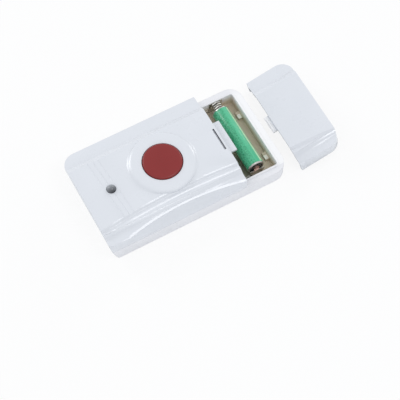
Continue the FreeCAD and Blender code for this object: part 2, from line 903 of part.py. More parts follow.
for side, (low, high) in CONTACTS.items():
    tray_cuts.append(
        box(
            "tail_slot_" + side,
            ("partition_x - wall", "bay_start_x + wall"),
            (low + " - partition_gap", high + " + partition_gap" if side == "near" else high),
            ("floor_wall", "floor_wall + contact_tail_height + partition_gap"),
        )
    )
back_shell = without("back_shell", joined("tray_full", tray_items), tray_cuts)

# Red button: a domed cap with a flange under the collar and a stem down to the switch
rim = "button_crown - button_dome"
cap_path = [
    ("0", "flange_top - flange_wall"),
    ("flange_radius", "flange_top - flange_wall"),
    ("flange_radius", "flange_top"),
    ("button_radius", "flange_top"),
]
cap_path += arc("button_radius - button_round", rim + " - button_round", "button_round", 0, 84, 4)
cap_path += [("%s * button_radius" % out, "button_crown - %s * button_dome" % (out * out)) for out in (0.75, 0.5, 0.25)]
cap_path += [("0", "button_crown")]
cap_solid = spun("cap_solid", "XZ_Plane", cap_path)
bind(cap_solid, Placement__Base__x="button_x")
cap_hollow = rod(
    "cap_hollow",
    "button_x",
    "0",
    "flange_top - 2 * flange_wall",
    "button_radius - button_skin",
    "button_crown - button_skin - flange_top + 2 * flange_wall",
)
cap = without("cap", cap_solid, [cap_hollow])
stem_top = "button_crown - button_skin / 2"
cap_stem = rod("cap_stem", "button_x", "0", "plunger_crown", "stem_diameter / 2", stem_top + " - plunger_crown")
rib_z = ("flange_top - flange_wall", stem_top)
rib_long = ("-(button_radius - button_skin / 2)", "button_radius - button_skin / 2")
rib_thin = ("-rib_wall / 2", "rib_wall / 2")
cap_rib_x = box("cap_rib_x", tuple("button_x + (%s)" % end for end in rib_long), rib_thin, rib_z)
cap_rib_y = box("cap_rib_y", tuple("button_x + (%s)" % end for end in rib_thin), rib_long, rib_z)
panic_button = joined("panic_button", [cap, cap_stem, cap_rib_x, cap_rib_y])

# Tactile switch
switch_block = box(
    "switch_block",
    ("button_x - switch_width / 2", "button_x + switch_width / 2"),
    ("-switch_width / 2", "switch_width / 2"),
    ("board_top", "switch_top"),
)
plunger_foot = "switch_top - plunger_in"
switch_bore = rod(
    "switch_bore",
    "button_x",
    "0",
    plunger_foot + " - press_travel - plunger_gap",
    "plunger_diameter / 2 + plunger_gap",
    "switch_height",
)
switch_body = without("switch_body", switch_block, [switch_bore])
switch_plunger = rod(
    "switch_plunger", "button_x", "0", plunger_foot, "plunger_diameter / 2", "plunger_crown - (%s)" % plunger_foot
)
pins = []
for side, sign in (("left", "-1"), ("right", "1")):
    for row, step in (("near", "-1"), ("far", "1")):
        inner = "button_x + %s * switch_width / 2" % sign
        ends = [inner, inner + " + %s * pin_reach" % sign]
        if side == "left":
            ends.reverse()
        middle = "%s * switch_width / 4" % step
        pins.append(
            box(
                "switch_pin_%s_%s" % (side, row),
                tuple(ends),
                (middle + " - pin_width", middle + " + pin_width"),
                ("board_top", "board_top + 2 * pin_width"),
            )
        )
switch_pins = group("switch_pins", pins)

# Lamp with its spacer and two leads
lamp_path = [
    ("0", "lamp_foot"),
    ("lamp_rim_diameter / 2", "lamp_foot"),
    ("lamp_rim_diameter / 2", "lamp_foot + lamp_rim_wall"),
    ("lamp_diameter / 2", "lamp_foot + lamp_rim_wall"),
]
lamp_path += arc("0", "lamp_top - lamp_diameter / 2", "lamp_diameter / 2", 0, 75, 4)
lamp_path += [("0", "lamp_top")]
lamp_lens = spun("lamp_lens", "XZ_Plane", lamp_path)
bind(lamp_lens, Placement__Base__x="lamp_x", Placement__Base__y="lamp_y")
spacer_rod = rod("spacer_rod", "lamp_x", "lamp_y", "board_top", "lamp_rim_diameter / 2", "lamp_foot - board_top")
leads = []
lead_holes = []
for side, sign in (("near", "-1"), ("far", "1")):
    middle = "lamp_y + %s * lead_pitch / 2" % sign
    for target, name, half in (
        (leads, "lamp_lead_", "lead_width / 2"),
        (lead_holes, "lead_hole_", "(lead_width / 2 + partition_gap)"),
    ):
        target.append(
            box(
                name + side,
                ("lamp_x - " + half, "lamp_x + " + half),
                (middle + " - " + half, middle + " + " + half),
                ("board_top", "lamp_foot"),
            )
        )
lamp_spacer = without("lamp_spacer", spacer_rod, lead_holes)
lamp_leads = group("lamp_leads", leads)

# Circuit board
board_plate = box(
    "board_plate",
    ("board_x", "board_end_x"),
    ("-board_half_width", "board_half_width"),
    ("board_height", "board_top"),
)
board_holes = [
    rod("board_hole_" + name, x, y, "floor_wall", "small_screw_diameter / 2 + screw_gap", "parting_height")
    for name, x, y in PEGS
]
for side, sign in (("near", -1), ("far", 1)):
    ends = ["%d * (post_half_span - post_diameter / 2 - board_gap)" % sign, "%d * half_width" % sign]
    if sign < 0:
        ends.reverse()
    board_holes.append(
        box("board_notch_" + side, ("board_x - wall", "board_edge_x"), tuple(ends), ("floor_wall", "parting_height"))
    )
circuit_board = without("circuit_board", board_plate, board_holes)

# Encoder chip with eight legs on each long side
CHIP_X = "(board_edge_x + chip_from_edge)"
CHIP_Y = "(-0.62 * board_half_width)"
chip_items = [
    box(
        "chip_block",
        (CHIP_X + " - chip_length / 2", CHIP_X + " + chip_length / 2"),
        (CHIP_Y + " - chip_width / 2", CHIP_Y + " + chip_width / 2"),
        ("board_top + pin_width / 2", "board_top + chip_height"),
    )
]
for index in range(8):
    leg_x = CHIP_X + " + %s * pin_pitch" % (index - 3.5)
    for side, sign in (("near", -1), ("far", 1)):
        root = CHIP_Y + " + %d * chip_width / 2" % sign
        tip = root + " + %d * pin_reach" % sign
        bend = root + " + %d * pin_width" % sign
        label = "chip_leg_%d_%s" % (index + 1, side)
        leg_across = (leg_x + " - pin_width / 2", leg_x + " + pin_width / 2")
        upper = [root, bend]
        lower = [root, tip]
        if sign < 0:
            upper.reverse()
            lower.reverse()
        chip_items.append(box(label, leg_across, tuple(upper), ("board_top", "board_top + chip_height / 2")))
        chip_items.append(box(label + "_foot", leg_across, tuple(lower), ("board_top", "board_top + pin_width / 2")))
encoder_chip = joined("encoder_chip", chip_items)

# Radio parts
CAN_X = "(board_end_x - can_from_end)"
CAN_Y = "(0.55 * board_half_width)"
can_base = rod("can_base", CAN_X, CAN_Y, "board_top", "can_diameter / 2", "can_rim")
can_cap = rod("can_cap", CAN_X, CAN_Y, "board_top", "can_diameter / 2 - can_rim", "can_height")
resonator_can = joined("resonator_can", [can_base, can_cap])
TRANSISTOR_X = "(button_x - transistor_from_button)"
TRANSISTOR_Y = "(0.48 * board_half_width)"
transistor_rod = rod(
    "transistor_rod",
    TRANSISTOR_X,
    TRANSISTOR_Y,
    "board_top + transistor_legs",
    "transistor_diameter / 2",
    "transistor_height",
)
transistor_flat = box(
    "transistor_flat",
    (TRANSISTOR_X + " + 0.3 * transistor_diameter", TRANSISTOR_X + " + transistor_diameter"),
    (TRANSISTOR_Y + " - transistor_diameter", TRANSISTOR_Y + " + transistor_diameter"),
    ("board_top", "2 * plateau_height"),
)
transistor_items = [without("transistor_case", transistor_rod, [transistor_flat])]
for step in (-1, 0, 1):
    middle = "%s + %d * pin_pitch" % (TRANSISTOR_Y, step)
    transistor_items.append(
        box(
            "transistor_leg_%d" % (step + 2),
            (TRANSISTOR_X + " - pin_width / 2", TRANSISTOR_X + " + pin_width / 2"),
            (middle + " - pin_width / 2", middle + " + pin_width / 2"),
            ("board_top", "board_top + transistor_legs"),
        )
    )
rf_transistor = joined("rf_transistor", transistor_items)
ANTENNA_Y = "(0.72 * board_half_width)"
antenna_x = "(board_edge_x + 2 * peg_inset + antenna_wire)"
antenna_far_x = "(%s - can_diameter / 2 - antenna_gap)" % CAN_X
antenna_z = "board_top + antenna_height"
wire = "antenna_wire / 2"
antenna_items = [rod("antenna_span", antenna_x, ANTENNA_Y, antenna_z, wire, "%s - %s" % (antenna_far_x, antenna_x), "x")]
for name, x in (("left", antenna_x), ("right", antenna_far_x)):
    antenna_items.append(rod("antenna_leg_" + name, x, ANTENNA_Y, "board_top", wire, "antenna_height"))
    antenna_items.append(ball("antenna_bend_" + name, x, ANTENNA_Y, antenna_z, wire))
wire_antenna = joined("wire_antenna", antenna_items)

# Electrolytic capacitor, ceramic discs and resistors
TANK_X = CAN_X
TANK_Y = "(-0.5 * board_half_width)"
electrolytic_capacitor = rod("electrolytic_capacitor", TANK_X, TANK_Y, "board_top", "tank_diameter / 2", "tank_height")
discs = []
for index in range(3):
    x = "board_edge_x + (%d + 1.9) * disc_pitch" % index
    y = "0.25 * board_half_width"
    disc = rod(
        "disc_body_%d" % (index + 1),
        x + " - disc_wall / 2",
        y,
        "board_top + pin_reach + disc_diameter / 2",
        "disc_diameter / 2",
        "disc_wall",
        "x",
    )
    disc_items = [disc]
    for side in (-1, 1):
        middle = "%s + %d * disc_diameter / 4" % (y, side)
        disc_items.append(
            box(
                "disc_leg_%d_%d" % (index + 1, side + 2),
                (x + " - pin_width / 2", x + " + pin_width / 2"),
                (middle + " - pin_width / 2", middle + " + pin_width / 2"),
                ("board_top", "board_top + pin_reach + disc_diameter / 4"),
            )
        )
    discs.append(joined("disc_%d" % (index + 1), disc_items))
ceramic_capacitors = group("ceramic_capacitors", discs)
chips = []
for index in range(4):
    middle = "(lamp_x + lamp_rim_diameter / 2 + button_x - switch_width / 2 - pin_reach) / 2"
    x = middle + " + %s * resistor_pitch" % (index - 1.5)
    y = "-0.1 * board_half_width"
    chips.append(
        rod(
            "resistor_%d" % (index + 1),
            x,
            y,
            "board_top + resistor_diameter / 2",
            "resistor_diameter / 2",
            "resistor_length",
            "y",
        )
    )
resistors = group("resistors", chips)

# Battery: one sealed can with its positive nub at the near end
near_rim = "battery_end - battery_body_length + battery_round"
can_path = [("0", "nub_end"), ("battery_nub_diameter / 2", "nub_end")]
can_path += [("battery_nub_diameter / 2", "battery_end - battery_body_length")]
can_path += arc("battery_radius - battery_round", near_rim, "battery_round", -90, 0, 2)
can_path += arc("battery_radius - battery_round", "battery_end - battery_round", "battery_round", 0, 90, 2)
can_path += [("0", "battery_end")]
battery = spun("battery", "XY_Plane", can_path)
bind(battery, Placement__Base__x="battery_x", Placement__Base__z="battery_axis_height")

# Contacts: an upright plate at each end of the battery, with a tail through the partition
contact_x = ("battery_x - contact_half_width", "battery_x + contact_half_width")
tail_x = "board_end_x - peg_inset / 4"
tail_end = tail_x + " + contact_wall"


def contact(label, y, height):
    plate = box(label + "_plate", contact_x, y, ("floor_wall", "floor_wall + " + height))
    tail = box(label + "_tail", (tail_x, contact_x[0]), y, ("floor_wall", "floor_wall + contact_tail_height"))
    riser = box(label + "_riser", (tail_x, tail_end), y, ("floor_wall", "board_height"))
    foot_y = ("board_half_width - contact_foot", y[1]) if label == "negative" else ("nub_end - contact_wall", "nub_end")
    foot = box(label + "_foot", (tail_x, tail_end), foot_y, ("board_height - contact_wall", "board_height"))
    return joined(label + "_contact", [plate, tail, riser, foot])


positive_contact = contact("positive", CONTACTS["near"], "positive_height")
negative_contact = contact("negative", CONTACTS["far"], "contact_height")

# Tapered spring on the negative contact, a wire of short mitred runs wound from the plate inwards
COIL_STEPS = 8
WIRE_SIDES = 8


def wound(turns, large, small, length, thick):
    """A wire wound about Y from the large end at the origin to the small end along -Y."""
    count = int(round(turns * COIL_STEPS))
    path = []
    for index in range(count + 1):
        share = index / count
        turn = 2 * math.pi * index / COIL_STEPS
        radius = large + (small - large) * share
        path.append(Vector(radius * math.cos(turn), -length * share, radius * math.sin(turn)))
    spine = Part.Wire([Part.LineSegment(path[i], path[i + 1]).toShape() for i in range(count)])
    ring = Part.Circle(path[0], path[1] - path[0], thick / 2)
    corners = [ring.value(2 * math.pi * index / WIRE_SIDES) for index in range(WIRE_SIDES)]
    section = Part.makePolygon(corners + corners[:1])
    return spine.makePipeShell([section], True, False, 1)


doc.recompute()
spring_large = float(sheet.get("spring_radius"))
spring_small = float(sheet.get("spring_small_radius"))
negative_spring = doc.addObject("Part::Feature", "negative_spring")
negative_spring.Shape = wound(
    float(sheet.get("spring_turns")),
    spring_large,
    spring_small,
    float(sheet.get("spring_length")),
    float(sheet.get("spring_wire")),
)
bind(
    negative_spring,
    Placement__Base__x="battery_x",
    Placement__Base__y="bay_half_width - contact_wall - spring_wire / 2",
    Placement__Base__z="battery_axis_height",
)


# Screws
def screw(label, x, y, seat, down, head, shank):
    """A pan-head screw with a cross recess; down is -1 where the head faces the underside."""
    head_diameter, head_height = head
    shank_diameter, shank_length = shank
    head_z = seat + " - " + head_height if down < 0 else seat
    shank_z = seat if down < 0 else seat + " - " + shank_length
    head_rod = rod(label + "_head", x, y, head_z, head_diameter + " / 2", head_height)
    shank_rod = rod(label + "_shank", x, y, shank_z, shank_diameter + " / 2", shank_length)
    arm = "0.3 * " + head_diameter
    thin = "0.07 * " + head_diameter
    face = (head_z, head_z + " + 0.5 * " + head_height)
    if down > 0:
        face = (seat + " + 0.5 * " + head_height, seat + " + " + head_height)
    cross_a = box(label + "_cross_a", (x + " - " + arm, x + " + " + arm), (y + " - " + thin, y + " + " + thin), face)
    cross_b = box(label + "_cross_b", (x + " - " + thin, x + " + " + thin), (y + " - " + arm, y + " + " + arm), face)
    return without(label, joined(label + "_blank", [head_rod, shank_rod]), [cross_a, cross_b])


case_screws = group(
    "case_screws",
    [
        screw(
            "case_screw_" + name,
            x,
            y,
            "screw_seat",
            -1,
            ("screw_head_diameter", "screw_head_height"),
            ("screw_diameter", "screw_length"),
        )
        for name, x, y, top in POSTS
    ],
)
board_screws = group(
    "board_screws",
    [
        screw(
            "board_screw_" + name,
            x,
            y,
            "board_top",
            1,
            ("small_head_diameter", "small_head_height"),
            ("small_screw_diameter", "small_screw_length"),
        )
        for name, x, y in PEGS
    ],
)

NODES = [
    front_shell,
    back_shell,
    battery_cover,
    panic_button,
    switch_body,
    switch_plunger,
    switch_pins,
    lamp_lens,
    lamp_leads,
    lamp_spacer,
    circuit_board,
    encoder_chip,
    resonator_can,
    rf_transistor,
    wire_antenna,
    electrolytic_capacitor,
    ceramic_capacitors,
    resistors,
    positive_contact,
    negative_contact,
    negative_spring,
    battery,
    case_screws,
    board_screws,
]

doc.recompute()
for item in doc.Objects:
    bad = [state for state in item.State if state in ("Invalid", "Error")]
    if bad:
        raise SystemExit("%s is %s" % (item.Name, ", ".join(bad)))
for node in NODES:
    shape = node.Shape
    if shape.isNull() or not shape.isValid() or not shape.Solids:
        raise SystemExit("%s has no valid solid" % node.Label)
    shape.exportStep("parts/%s.step" % node.Label)
    span = shape.BoundBox
    print(
        "%-24s solids %d volume %9.1f x %6.1f %6.1f y %6.1f %6.1f z %6.1f %6.1f"
        % (
            node.Label,
            len(shape.Solids),
            shape.Volume,
            span.XMin,
            span.XMax,
            span.YMin,
            span.YMax,
            span.ZMin,
            span.ZMax,
        )
    )
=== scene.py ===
import math

import bmesh
import bpy
from mathutils import Matrix, Vector

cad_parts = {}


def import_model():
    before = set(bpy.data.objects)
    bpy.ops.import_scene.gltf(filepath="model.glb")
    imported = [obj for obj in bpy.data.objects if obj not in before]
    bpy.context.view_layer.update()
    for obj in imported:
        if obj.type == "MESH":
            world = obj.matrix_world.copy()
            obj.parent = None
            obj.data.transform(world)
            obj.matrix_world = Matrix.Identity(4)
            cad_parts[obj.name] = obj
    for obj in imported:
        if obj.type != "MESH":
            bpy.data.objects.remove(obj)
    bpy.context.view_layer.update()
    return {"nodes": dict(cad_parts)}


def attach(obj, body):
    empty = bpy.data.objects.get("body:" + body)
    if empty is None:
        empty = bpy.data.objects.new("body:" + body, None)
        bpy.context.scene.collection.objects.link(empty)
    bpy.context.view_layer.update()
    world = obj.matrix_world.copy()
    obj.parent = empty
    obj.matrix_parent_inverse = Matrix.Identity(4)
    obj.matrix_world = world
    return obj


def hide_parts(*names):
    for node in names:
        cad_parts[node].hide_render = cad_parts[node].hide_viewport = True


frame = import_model()
MM = 0.001
scene = bpy.context.scene


# Materials

ROUNDING_SAMPLES = 6
GRAIN_HEIGHT = 0.00006
STREAK_HEIGHT = 0.00003
CRISP = 0.01
# Boxes in millimetres, as (low, high, fade) for X, Y and Z, where painted shade, painted shadow, painted glints
# or painted light are laid over the base colour.
# Painted shade: dark colour on the walls inside the slit below the shell's edge.
SLIT_PAINTED_SHADE = ((27.5, 28.9, 0.01), (-9.8, 5.8, 0.01), (18.0, 22.5, 0.1))
# Painted shade and painted reflected colour: the bay's floor and low walls in warm brown-grey, fading out
# higher up.
BAY_PAINTED_SHADE = ((27.7, 53.5, 0.01), (-27.4, 27.4, 0.01), (1.5, 7.4, 2.8))
# Painted shadow: dark floor strip beside the battery, under the overhang of the shell's edge.
UNDER_EDGE_PAINTED_SHADOW = ((27.7, 39.0, 1.0), (-27.4, -5.0, 4.0), (1.5, 7.0, 1.5))
# Painted glints: pale tops on the two catches by the bay's end wall.
NEAR_CATCH_PAINTED_GLINT = ((50.6, 52.8, 0.1), (-18.6, -15.6, 0.1), (4.2, 4.6, 0.1))
FAR_CATCH_PAINTED_GLINT = ((50.6, 52.8, 0.1), (13.4, 16.4, 0.1), (4.2, 4.6, 0.1))
# Painted light: the bay's end rim set near white, as if brightly lit.
END_RIM_PAINTED_LIGHT = ((53.3, 58.8, 0.1), (-28.0, 28.0, 4.0), (10.2, 14.0, 0.1))
# Painted light: the battery cover's tab lightened where it lies in shade.
COVER_TAB_PAINTED_LIGHT = ((62.0, 64.6, 0.1), (-7.2, 4.8, 0.1), (7.4, 10.4, 0.1))
# Painted shade: darker speckle laid only on the battery's shaded side.
JACKET_SHADED = ((30.0, 42.0, 1.6), (-30.0, 30.0, 0.1), (0.0, 20.0, 0.1))
# Painted highlight: a pale line along the battery's lit side.
JACKET_PAINTED_HIGHLIGHT = ((45.2, 46.7, 0.10), (-20.9, 20.2, 0.2), (11.2, 13.0, 0.10))


class Look:
    """A node material built step by step from a principled shader and object coordinates."""

    def __init__(self, name, rough, **sockets):
        self.material = bpy.data.materials.new(name)
        self.material.use_nodes = True
        self.tree = self.material.node_tree
        self.shader = self.tree.nodes["Principled BSDF"]
        self.shader.inputs["Roughness"].default_value = rough
        for socket, value in sockets.items():
            self.shader.inputs[socket.replace("_", " ")].default_value = value
        self.coords = self.tree.nodes.new("ShaderNodeTexCoord").outputs["Object"]

    def node(self, kind, links=None, **settings):
        """A new node; a setting is one of its properties or else the value of a socket."""
        item = self.tree.nodes.new(kind)
        for key, value in settings.items():
            if hasattr(item, key):
                setattr(item, key, value)
            else:
                item.inputs[key.replace("_", " ")].default_value = value
        for socket, source in (links or {}).items():
            self.tree.links.new(source, item.inputs[socket])
        return item

    def noise(self, scale, detail=2.0, rough=0.5):
        item = self.node("ShaderNodeTexNoise", {"Vector": self.coords}, Scale=scale, Detail=detail)
        item.inputs["Roughness"].default_value = rough
        return item.outputs["Fac"]

    def streaks(self, scales):
        """Noise drawn out along the axis whose scale is the smallest."""
        stretch = self.node("ShaderNodeMapping", {"Vector": self.coords}, Scale=scales)
        lines = self.node("ShaderNodeTexNoise", {"Vector": stretch.outputs["Vector"]}, Scale=1.0, Detail=3.0)
        return lines.outputs["Fac"]

    def place(self, axis):
        """One of the object coordinates, in metres."""
        return self.node("ShaderNodeSeparateXYZ", {"Vector": self.coords}).outputs[axis]

    def climb(self, source, low, high):
        """Nought up to the low value, one from the high value on."""
        item = self.node("ShaderNodeMapRange", {"Value": source}, From_Min=low, From_Max=high)
        return item.outputs["Result"]

    def product(self, first, second):
        item = self.node("ShaderNodeMath", {0: first, 1: second}, operation="MULTIPLY")
        return item.outputs[0]

    def blend(self, factor, low, high, first, second):
        """Colour that goes from first to second as the factor goes from low to high."""
        ramp = self.node("ShaderNodeValToRGB", {"Fac": factor})
        ramp.color_ramp.elements[0].position = low
        ramp.color_ramp.elements[0].color = (*first, 1)
        ramp.color_ramp.elements[1].position = high
        ramp.color_ramp.elements[1].color = (*second, 1)
        return ramp.outputs["Color"]

    def within(self, limits):
        """One inside a box given in millimetres and nought outside it.

        Each axis has its low and high limit and the width over which the high limit fades.
        """
        total = None
        for axis, (low, high, fade) in zip("XYZ", limits):
            where = self.place(axis)
            above = self.climb(where, (low - CRISP) * MM, (low + CRISP) * MM)
            below = self.climb(where, (high + fade) * MM, (high - fade) * MM)
            inside = self.product(above, below)
            total = inside if total is None else self.product(total, inside)
        return total

    def over(self, share, under, color):
        """A colour laid over another one where the share is one."""
        mix = self.node("ShaderNodeMix", data_type="RGBA")
        self.tree.links.new(share, mix.inputs[0])
        self.tree.links.new(under, mix.inputs[6])
        mix.inputs[7].default_value = (*color, 1)
        return mix.outputs[2]

    def color(self, source):
        self.tree.links.new(source, self.shader.inputs["Base Color"])

    def roughness(self, factor, low, high):
        item = self.node("ShaderNodeMapRange", {"Value": factor}, To_Min=low, To_Max=high)
        self.tree.links.new(item.outputs["Result"], self.shader.inputs["Roughness"])

    def bump(self, height, strength, distance, edge=0.0):
        """Surface relief; edge is the radius in metres over which corners look rounded."""
        item = self.node("ShaderNodeBump", {"Height": height}, Strength=strength, Distance=distance)
        if edge:
            soft = self.node("ShaderNodeBevel", samples=ROUNDING_SAMPLES, Radius=edge)
            self.tree.links.new(soft.outputs["Normal"], item.inputs["Normal"])
        self.tree.links.new(item.outputs["Normal"], self.shader.inputs["Normal"])


def moulded(name, first, second, rough, grain=2600.0, depth=0.05, edge=0.0, tints=(), **sockets):
    """Moulded plastic: faint clouding in the colour, a fine spark-eroded grain and uneven gloss.

    A tint is another colour and the box in millimetres that it fills; the tints used here are painted light and
    painted shade.
    """
    look = Look(name, rough, **sockets)
    shade = look.blend(look.noise(38.0, 4.0, 0.6), 0.32, 0.72, first, second)
    for color, limits in tints:
        shade = look.over(look.within(limits), shade, color)
    look.color(shade)
    look.roughness(look.noise(90.0, 3.0), rough - 0.05, rough + 0.06)
    look.bump(look.noise(grain, 2.0, 0.6), depth, GRAIN_HEIGHT, edge)
    return look.material


def metal(name, first, second, rough):
    """Plated or bare metal with drawing marks along X."""
    look = Look(name, rough, Metallic=1.0)
    lines = look.streaks((40.0, 900.0, 900.0))
    look.color(look.blend(lines, 0.3, 0.7, first, second))
    look.roughness(lines, rough - 0.06, rough + 0.08)
    look.bump(lines, 0.15, STREAK_HEIGHT)
    return look.material


def clear_resin():
    """Smoky clear resin, with paler colour painted towards its far side where the sky would show through:
    painted light.
    """
    look = Look("lamp_lens", 0.12, Specular_IOR_Level=0.5)
    painted_far_side_light = look.climb(look.place("Y"), -3.6 * MM, 1.6 * MM)
    look.color(look.blend(painted_far_side_light, 0.05, 0.95, (0.06, 0.063, 0.072), (0.42, 0.445, 0.47)))
    look.roughness(look.noise(700.0), 0.08, 0.20)
    return look.material


def streaked_jacket_with_painted_light():
    """Shrink sleeve: fine lengthwise streaks, with painted shade as darker speckle on its shaded side and a
    painted highlight as one pale line.
    """
    look = Look("battery_jacket", 0.27, Specular_IOR_Level=0.6)
    green = look.blend(look.streaks((900.0, 30.0, 900.0)), 0.3, 0.7, (0.070, 0.48, 0.250), (0.120, 0.61, 0.350))
    # Painted shade: darker speckle over the shaded side only.
    shaded = look.within(JACKET_SHADED)
    speckle = look.climb(look.noise(1500.0, 1.0), 0.46, 0.62)
    streaks_and_painted_shade = look.over(look.product(shaded, speckle), green, (0.030, 0.32, 0.145))
    # Painted highlight: the pale line along the lit side.
    look.color(look.over(look.within(JACKET_PAINTED_HIGHLIGHT), streaks_and_painted_shade, (0.55, 0.80, 0.50)))
    look.roughness(look.noise(120.0), 0.22, 0.34)
    return look.material


def solder_mask():
    """Green lacquer over a faint maze of tracks."""
    look = Look("solder_mask", 0.34)
    maze = look.node("ShaderNodeTexBrick", {"Vector": look.coords}, Scale=220.0)
    maze.inputs["Color1"].default_value = (0.035, 0.165, 0.070, 1)
    maze.inputs["Color2"].default_value = (0.045, 0.200, 0.085, 1)
    maze.inputs["Mortar"].default_value = (0.025, 0.120, 0.050, 1)
    look.color(maze.outputs["Color"])
    look.bump(look.noise(800.0), 0.15, STREAK_HEIGHT)
    return look.material


CASE_PAINTED_LIGHT_AND_SHADE = [((0.15, 0.145, 0.16), SLIT_PAINTED_SHADE), ((0.97, 0.975, 0.985), COVER_TAB_PAINTED_LIGHT)]
TRAY_PAINTED_LIGHT_AND_SHADE = [
    ((0.67, 0.575, 0.44), BAY_PAINTED_SHADE),
    ((0.25, 0.25, 0.18), UNDER_EDGE_PAINTED_SHADOW),
    ((0.97, 0.95, 0.86), NEAR_CATCH_PAINTED_GLINT),
    ((0.97, 0.95, 0.86), FAR_CATCH_PAINTED_GLINT),
    ((0.985, 0.985, 0.99), END_RIM_PAINTED_LIGHT),
]
GLOSS = {"Coat_Weight": 0.9, "Coat_Roughness": 0.20}

WHITE = moulded(
    "case_white",
    (0.80, 0.825, 0.865),
    (0.78, 0.805, 0.848),
    0.28,
    edge=0.25 * MM,
    tints=CASE_PAINTED_LIGHT_AND_SHADE,
    **GLOSS,
)
# Painted light: the tray's white is set paler than the case white, so the back shell renders brighter.
TRAY = moulded(
    "tray_white",
    (0.89, 0.892, 0.917),
    (0.87, 0.872, 0.897),
    0.36,
    edge=0.5 * MM,
    tints=TRAY_PAINTED_LIGHT_AND_SHADE,
)
RED = moulded("button_red", (0.272, 0.020, 0.019), (0.238, 0.017, 0.016), 0.36, grain=1800.0, depth=0.10)
BLACK = moulded("black_plastic", (0.030, 0.031, 0.033), (0.024, 0.025, 0.027), 0.48)
SLEEVE = moulded("sleeved_can", (0.040, 0.060, 0.140), (0.030, 0.045, 0.110), 0.34)
OCHRE = moulded("dipped_ceramic", (0.60, 0.31, 0.07), (0.52, 0.26, 0.06), 0.42, grain=900.0)
TAN = moulded("lacquered_body", (0.58, 0.45, 0.28), (0.52, 0.40, 0.25), 0.40, grain=900.0)
NICKEL = metal("nickel_plate", (0.70, 0.69, 0.66), (0.60, 0.59, 0.56), 0.30)
STEEL = metal("screw_steel", (0.52, 0.52, 0.52), (0.44, 0.44, 0.45), 0.36)
NUB_PAINTED_REFLECTION = metal("nub_painted_reflection", (0.72, 0.46, 0.40), (0.60, 0.37, 0.32), 0.34)
LENS = clear_resin()
JACKET = streaked_jacket_with_painted_light()
BOARD = solder_mask()

MATERIALS = {
    "front_shell": WHITE,
    "back_shell": TRAY,
    "battery_cover": WHITE,
    "panic_button": RED,
    "switch_body": BLACK,
    "switch_plunger": BLACK,
    "switch_pins": NICKEL,
    "lamp_lens": LENS,
    "lamp_leads": NICKEL,
    "lamp_spacer": BLACK,
    "circuit_board": BOARD,
    "encoder_chip": BLACK,
    "resonator_can": NICKEL,
    "rf_transistor": BLACK,
    "wire_antenna": NICKEL,
    "electrolytic_capacitor": SLEEVE,
    "ceramic_capacitors": OCHRE,
    "resistors": TAN,
    "positive_contact": NICKEL,
    "negative_contact": NICKEL,
    "negative_spring": NICKEL,
    "battery": NICKEL,
    "case_screws": STEEL,
    "board_screws": STEEL,
}
for name, material in MATERIALS.items():
    node = frame["nodes"][name]
    node.data.materials.clear()
    node.data.materials.append(material)


# Pieces, with sizes in millimetres, welds in metres

CLOSE = 0.02
PLATEAU = 22.7
PLATEAU_CHAMFER = 0.42
GROOVE_FLOOR = 22.54
GROOVE_RISE = 0.09
SHOULDER_SIDE = -17.0
SHOULDER_FOOT = 16.0
SHOULDER_START = -47.5
SHOULDER_CREASE = 0.14
BUTTON_X = -8.0
# Rows of the collar's rim: radius and height as made, and both as eased.
RIM = [
    (19.90, 22.70, 20.9, 22.70),
    (19.90, 22.80, 20.4, 22.85),
    (19.79, 23.37, 19.8, 23.22),
    (19.46, 23.86, 19.2, 23.65),
    (18.97, 24.19, 18.4, 24.05),
    (18.40, 24.30, 17.4, 24.30),
]
EASED_HALF_WIDTH = 12.5
FADE_WIDTH = 5.0
WELD = 1e-6
FLAT_ANGLE = math.radians(0.4)
EDGE_ANGLE = math.radians(32)
LATHE_STEPS = 72
LATHE_WELD = 1e-7
LATHE_SPLIT = math.radians(40)


def at_height(vertex, height):
    return abs(vertex.co.z - height * MM) < CLOSE * MM


def shoulder_edges(work):
    """Edges that run along the near shoulder, where flat facets catch the light as crisp lines."""
    found = []
    for edge in work.edges:
        if len(edge.link_faces) != 2:
            continue
        start, end = (vertex.co for vertex in edge.verts)
        middle = (start + end) / 2 / MM
        on_shoulder = middle.y < SHOULDER_SIDE and middle.z > SHOULDER_FOOT and middle.x > SHOULDER_START
        lengthwise = abs((end - start).normalized().x) > 0.9
        if on_shoulder and lengthwise and edge.calc_face_angle(0.0) > SHOULDER_CREASE:
            found.append(edge)
    return found


def ease_rim(work):
    """Spread the collar's quarter-round rim into a softer slope on its left and right sides."""
    for vertex in work.verts:
        x, y, z = vertex.co / MM
        painted_far_side_light = math.hypot(x - BUTTON_X, y)
        for radius, height, eased_radius, eased_height in RIM:
            if abs(painted_far_side_light - radius) < CLOSE and abs(z - height) < CLOSE:
                share = min(1.0, max(0.0, (EASED_HALF_WIDTH + FADE_WIDTH - abs(y)) / FADE_WIDTH))
                growth = (radius + share * (eased_radius - radius)) / painted_far_side_light
                vertex.co.x = (BUTTON_X + growth * (x - BUTTON_X)) * MM
                vertex.co.y = growth * y * MM
                vertex.co.z = (height + share * (eased_height - height)) * MM
                break


def ease_front(work):
    """Shallower grooves, a softer rim and a chamfer where the plateau meets the near shoulder."""
    for vertex in work.verts:
        if at_height(vertex, GROOVE_FLOOR):
            vertex.co.z += GROOVE_RISE * MM
    ease_rim(work)
    brink = []
    for edge in shoulder_edges(work):
        if all(at_height(vertex, PLATEAU) for vertex in edge.verts):
            brink.append(edge)
    if brink:
        bmesh.ops.bevel(work, geom=brink, offset=PLATEAU_CHAMFER * MM, segments=1, affect="EDGES")
        bmesh.ops.remove_doubles(work, verts=work.verts, dist=WELD)
        bmesh.ops.dissolve_degenerate(work, dist=WELD, edges=work.edges)


